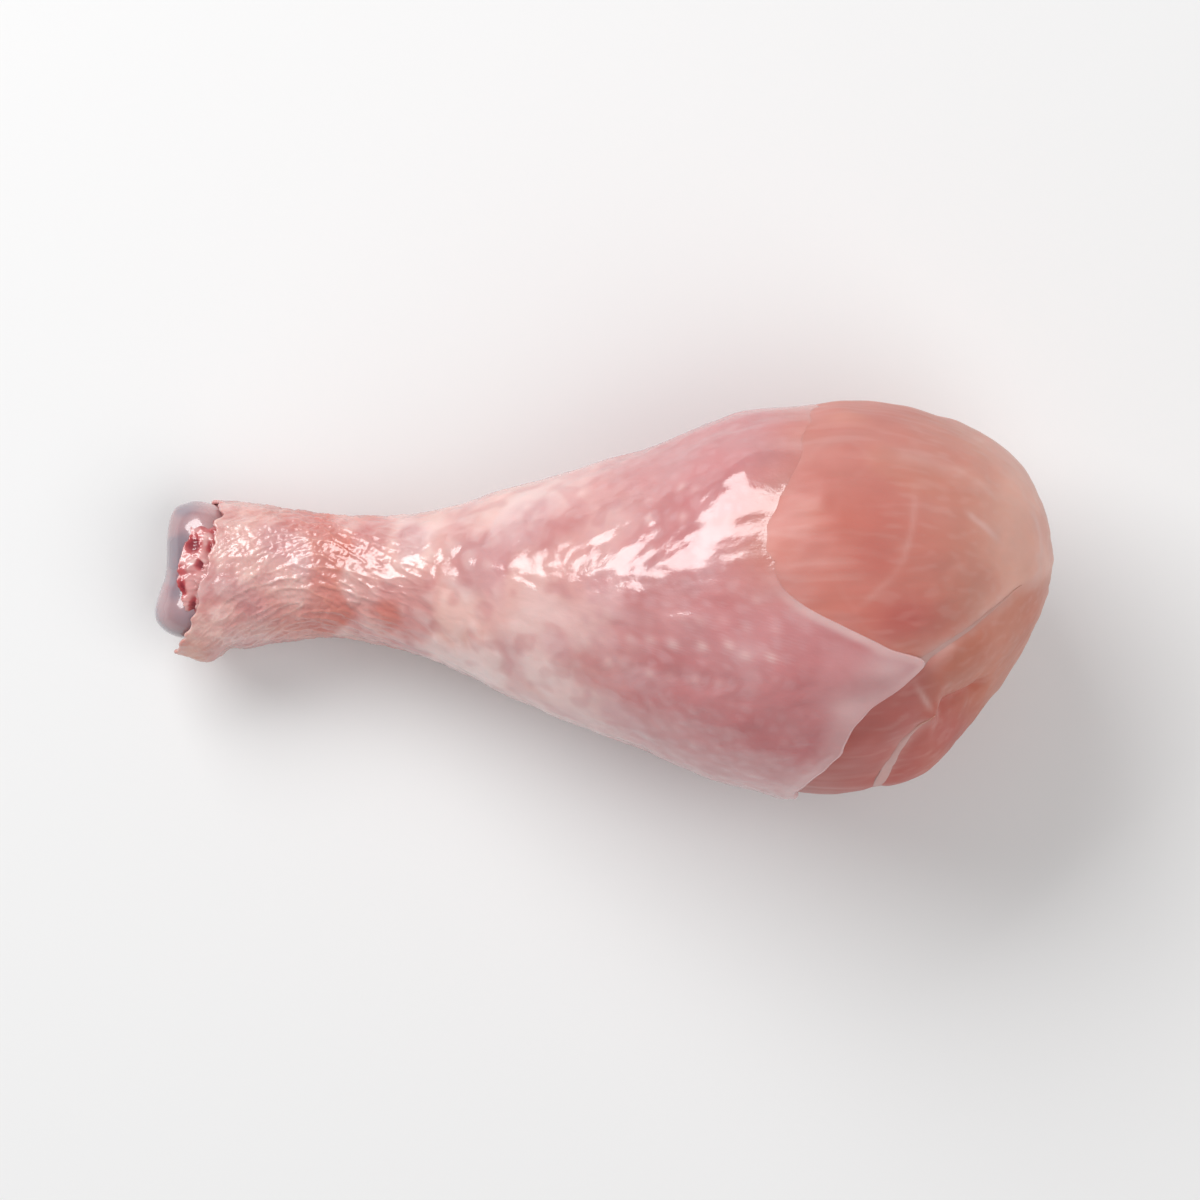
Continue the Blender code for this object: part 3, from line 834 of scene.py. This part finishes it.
def make_bone():
    """The tibia with its two cartilage ends, fused to one mesh."""
    bodies = (spool(), shaft(), knee_head())
    points, faces = fused("tibia", bodies, BONE_VOXEL, 6)
    points[:, 1:] += 0.10 * noise_at(points, 3.0, 51)[:, None]
    tint = mix(CARTILAGE, CARTILAGE_PINK, 0.6 * smooth(0.0, 0.7, noise_at(points, 4.0, 52)))
    groove = np.exp(-(((points[:, 1] - 3.1) / 1.6) ** 2)) * (points[:, 0] < 14.0)
    tint = mix(tint, RAW_RED, 0.55 * groove * smooth(-0.2, 0.6, noise_at(points, 1.8, 53)))
    back = smooth(4.0, 8.0, points[:, 0]) * (points[:, 0] < 30.0)
    tint = mix(tint, CARTILAGE_PINK, back)
    tint = mix(tint, KNEE_CARTILAGE, smooth(60.0, 95.0, points[:, 0]))
    look = wet_material("wet_cartilage", 0.004, 0.05, (0.18, 0.34), 0.05, (0.8, 0.08))
    piece = new_piece("tibia_ends", points, faces, look, tint)
    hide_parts("bone")
    return piece


# ---------------------------------------------------------------- ankle tissue

# How far the torn tissue reaches towards the ankle's tip: angle, along.
TISSUE_FRONT = np.array((
    (0.0, 7.4), (20.0, 6.3), (51.0, 5.0), (74.0, 3.8), (97.0, 3.6), (113.0, 4.4),
    (126.0, 5.2), (150.0, 5.0), (175.0, 4.6), (220.0, 5.0), (270.0, 5.2), (320.0, 6.4),
))

# Dark hollows seen from above, painted blood red and darker with depth, partly painted shade: along, y,
# spread along, spread across, depth.
PITS = (
    (5.3, 7.4, 1.1, 1.2, 0.6),
    (6.5, 4.6, 0.5, 0.6, 0.7),
    (4.1, 1.7, 0.5, 1.3, 0.5),
    (5.5, -0.8, 0.4, 1.0, 0.6),
    (7.2, 10.2, 1.3, 1.0, 0.4),
    (7.6, 7.0, 0.4, 0.8, 0.4),
)


def make_ankle_tissue():
    """Torn tissue round the joint: a lumpy collar under the skin's cut edge with hollows painted dark blood
    red, partly painted shade.
    """
    angle = angles_round(280, 0.2)
    front = round_leg(TISSUE_FRONT, angle)
    outside = np.linspace(12.0, 0.0, 60)[:, None]
    along = front + outside * (11.5 - front) / 12.0
    collar = flesh(along, angle, 0.4 * smooth(0.0, 2.0, along - front) - 0.8)
    inwards = np.linspace(0.02, 0.9, 56)[:, None]
    edge = collar[-1:]
    hub = np.stack((front - 0.4, np.full(front.shape, ANKLE_JOINT[1]),
                    np.full(front.shape, ANKLE_JOINT[2])), axis=-1)
    face = edge + (hub - edge) * inwards[..., None]
    face[..., 0] += 0.8 * np.sin(inwards * math.pi)
    rings = np.concatenate((collar, face))
    lumps = 0.32 * noise_at(rings, 2.0, 61) + 0.12 * noise_at(rings, 0.8, 62)
    lumps += 0.05 * noise_at(rings, 0.4, 67)
    strings = 0.25 * (1.0 - np.abs(noise_at(rings, (2.6, 0.7, 0.7), 63))) ** 2
    outward = rings - np.array((16.0, *ANKLE_JOINT[1:]))
    outward /= np.linalg.norm(outward, axis=-1, keepdims=True)
    depth = np.zeros(rings.shape[:-1])
    upper = smooth(9.0, 12.0, rings[..., 2])
    for place, y, spread, across, deep in PITS:
        depth += deep * blob(rings, (place, y), (spread, across)) * upper
    elsewhere = smooth(0.35, 0.75, noise_at(rings, 3.0, 64)) * (1.0 - upper)
    depth += 0.8 * elsewhere
    # The deeper a hollow, the redder and darker it is painted: partly blood, partly painted shade in the
    # hollow.
    blood_and_shade = np.clip(depth / 0.5, 0.0, 1.0)
    rings = rings + outward * (lumps + strings - depth)[..., None]

    tint = mix(TISSUE, RAW_RED, smooth(-0.1, 0.7, noise_at(rings, 2.4, 65)))
    tint = mix(tint, SKIN_PALE, 0.6 * smooth(0.1, 0.6, noise_at(rings, (2.5, 1.0, 1.0), 66)))
    tint = mix(tint, RAW_RED, 0.6 * blob(rings, (7.6, 10.6), (1.8, 2.4)) * upper)
    tint = mix(tint, RAW_RED, smooth(0.05, 0.45, blood_and_shade))
    tint = mix(tint, BLOOD_AND_SHADE, 0.9 * smooth(0.4, 1.0, blood_and_shade))
    vertices, colours = capped(rings, tint)
    look = wet_material("raw_tissue", 0.002, 0.10, (0.22, 0.45), 0.20, (0.9, 0.10))
    return new_piece("ankle_tissue", vertices, ring_faces(*rings.shape[:2]), look, colours)


# ---------------------------------------------------------------- strips of tissue


def ribbon(name, line, widths, thickness, over, look, tint, fade):
    """A thin strip of tissue on another piece's surface, along a line of (along, angle).

    fade is how much of the strip's two ends blends into the meat's colour, as shares of its length.
    """
    sides = 10
    mesh = over.data
    corners = [v.co[:] for v in mesh.vertices]
    tree = BVHTree.FromPolygons(corners, [p.vertices[:] for p in mesh.polygons])
    fine = smooth_path(line)
    angle = fine[:, 1]
    normals = flesh_normal(fine[:, 0], angle)
    placed = []
    for point, normal in zip(to_frame(flesh(fine[:, 0], angle, 4.0)), normals):
        spot, _, _, _ = tree.ray_cast(Vector(point), Vector(-normal))
        placed.append((np.array(spot) - (TIP_X, 0.0, 0.0)) / MM)
    placed = np.array(placed)
    for _ in range(4):
        placed[1:-1] = (placed[:-2] + placed[1:-1] * 2 + placed[2:]) / 4
    direction = np.gradient(placed, axis=0)
    across = np.cross(normals, direction)
    across /= np.linalg.norm(across, axis=1, keepdims=True)
    share = np.linspace(0.0, 1.0, len(fine))
    width = np.interp(share, np.linspace(0.0, 1.0, len(widths)), widths)
    width = width * (1.0 + 0.25 * noise_at(placed, 1.6, 75))
    turn = np.linspace(0.0, 2 * math.pi, sides, endpoint=False)
    rise = thickness * (np.sin(turn) * 0.5 + 0.05)
    rings = placed[:, None] + normals[:, None] * rise[None, :, None]
    rings = rings + across[:, None] * (width[:, None] / 2 * np.cos(turn)[None, :])[..., None]
    blended = mix(MEAT_ORANGE, tint, smooth(0.0, fade[0], share) * smooth(1.0, 1.0 - fade[1], share))
    vertices, colours = capped(rings, np.broadcast_to(blended[:, None], rings.shape))
    return new_piece(name, vertices, ring_faces(*rings.shape[:2]), look, colours)


def make_strips(meat):
    """The pale tendon across the lower side, and the membrane from the tongue's tip."""
    look = wet_material("tendon", 0.003, 0.05, (0.30, 0.46), 0.08, (0.5, 0.18))
    upper = [(along, float(on_top(along, y))) for along, y in TENDON_LINE]
    line = upper + [(93.6, 181.0), (92.0, 194.0), (90.6, 207.0), (89.6, 220.0)]
    widths = (0.1, 0.7, 1.1, 2.1, 2.0, 1.7, 1.2, 0.1)
    ribbon("tendon_strip", line, widths, 0.20, meat, look, TENDON, (0.2, 0.3))
    line = [(along, float(on_top(along, y))) for along, y in MEMBRANE_LINE]
    ribbon("seam_membrane", line, (2.4, 1.6, 0.9, 0.5, 0.1), 0.12, meat, look, MEMBRANE, (0.01, 0.7))


def make_capsule():
    """The cut rim of the knee's capsule: an uneven pale cord round the bone's head."""
    columns, sides = 120, 12
    axis = np.array((0.78, 0.0, -0.62))
    up = np.array((0.62, 0.0, 0.78))
    side = np.array((0.0, 1.0, 0.0))
    path = []
    for turn in np.linspace(0.0, 2 * math.pi, columns, endpoint=False):
        outward = up * math.cos(turn) + side * math.sin(turn)
        lean = np.linspace(0.0, math.pi, 240)[:, None]
        points = KNEE_HEAD + (axis * np.cos(lean) + outward * np.sin(lean)) * KNEE_HEAD_RADII
        width, height, middle, level = section(points[:, 0])
        out_y = (points[:, 1] - middle) / (width / 2 + 0.01)
        out_z = (points[:, 2] - level) / (height / 2 + 0.01)
        reach = np.hypot(out_y, out_z)
        inside = np.flatnonzero(reach < 1.0)
        path.append(points[inside[0] if len(inside) else 120])
    path = np.array(path)
    for _ in range(6):
        path = (np.roll(path, 1, axis=0) + path * 2 + np.roll(path, -1, axis=0)) / 4
    outward = path - KNEE_HEAD
    outward /= np.linalg.norm(outward, axis=1, keepdims=True)
    around = np.roll(path, -1, axis=0) - np.roll(path, 1, axis=0)
    around /= np.linalg.norm(around, axis=1, keepdims=True)
    across = np.cross(outward, around)
    radius = 0.85 + 0.35 * noise_at(path, 3.0, 71)
    turn = np.linspace(0.0, 2 * math.pi, sides, endpoint=False)
    rings = path[:, None] + outward[:, None] * (radius[:, None] * 0.75 * np.sin(turn))[..., None]
    rings = rings + across[:, None] * (radius[:, None] * 1.3 * np.cos(turn))[..., None]
    rings = rings + 0.16 * noise_at(rings, 0.9, 72)[..., None]
    tint = mix(MEAT_RIM, SKIN_PALE, smooth(-0.3, 0.5, noise_at(rings, 2.0, 73)))
    tint = mix(tint, RAW_RED, 0.35 * smooth(0.2, 0.7, noise_at(rings, 2.5, 74)))
    faces = ring_faces(columns, sides, closed=True)
    look = wet_material("capsule", 0.002, 0.08, (0.25, 0.45), 0.15, (0.7, 0.14))
    new_piece("knee_capsule", rings.reshape(-1, 3), faces, look, tint.reshape(-1, 3))


# ---------------------------------------------------------------- floor, lights, camera

VIEW_WIDTH = 0.160  # how much of the floor the picture takes in
LENS = 240.0
SENSOR = 36.0
FLOOR_SIZE = 3.0


def make_floor():
    """A plain pale floor."""
    mesh = bpy.data.meshes.new("floor")
    half = FLOOR_SIZE / 2
    corners = [(-half, -half, 0), (half, -half, 0), (half, half, 0), (-half, half, 0)]
    mesh.from_pydata(corners, [], [(0, 1, 2, 3)])
    floor = bpy.data.objects.new("floor", mesh)
    bpy.context.scene.collection.objects.link(floor)
    look = bpy.data.materials.new("pale_floor")
    look.use_nodes = True
    shader = look.node_tree.nodes["Principled BSDF"]
    shader.inputs["Base Color"].default_value = (0.86, 0.86, 0.86, 1.0)
    shader.inputs["Roughness"].default_value = 0.7
    mesh.materials.append(look)


def area_light(name, direction, distance, size, power, mirrored=True):
    """A soft light that faces the leg's middle; one that isn't mirrored leaves no glint."""
    data = bpy.data.lights.new(name, "AREA")
    data.shape = "RECTANGLE"
    data.size, data.size_y = size
    data.energy = power
    light = bpy.data.objects.new(name, data)
    towards = Vector(direction).normalized()
    light.location = towards * distance
    light.rotation_mode = "QUATERNION"
    light.rotation_quaternion = towards.to_track_quat("Z", "Y")
    light.visible_glossy = mirrored
    bpy.context.scene.collection.objects.link(light)


def make_stage():
    """The floor, two soft lamps, an even room light and the camera straight above."""
    make_floor()
    area_light("key", (-0.76, 0.86, 1.0), 0.9, (0.80, 0.44), 6.5)
    area_light("overhead", (0.55, -0.30, 1.0), 1.3, (1.2, 1.2), 7.4, mirrored=False)
    world = bpy.data.worlds.new("studio")
    world.use_nodes = True
    world.node_tree.nodes["Background"].inputs["Color"].default_value = (1.0, 1.0, 1.0, 1.0)
    world.node_tree.nodes["Background"].inputs["Strength"].default_value = 0.285
    scene = bpy.context.scene
    scene.world = world
    scene.view_settings.view_transform = "Standard"
    camera = bpy.data.objects.new("camera", bpy.data.cameras.new("camera"))
    camera.data.lens = LENS
    camera.data.sensor_width = SENSOR
    camera.data.clip_start = 0.01
    camera.location = (0.0, 0.0, VIEW_WIDTH * LENS / SENSOR)
    scene.collection.objects.link(camera)
    scene.camera = camera


make_stage()
meat = make_meat()
make_skin()
make_bone()
make_ankle_tissue()
make_strips(meat)
make_capsule()
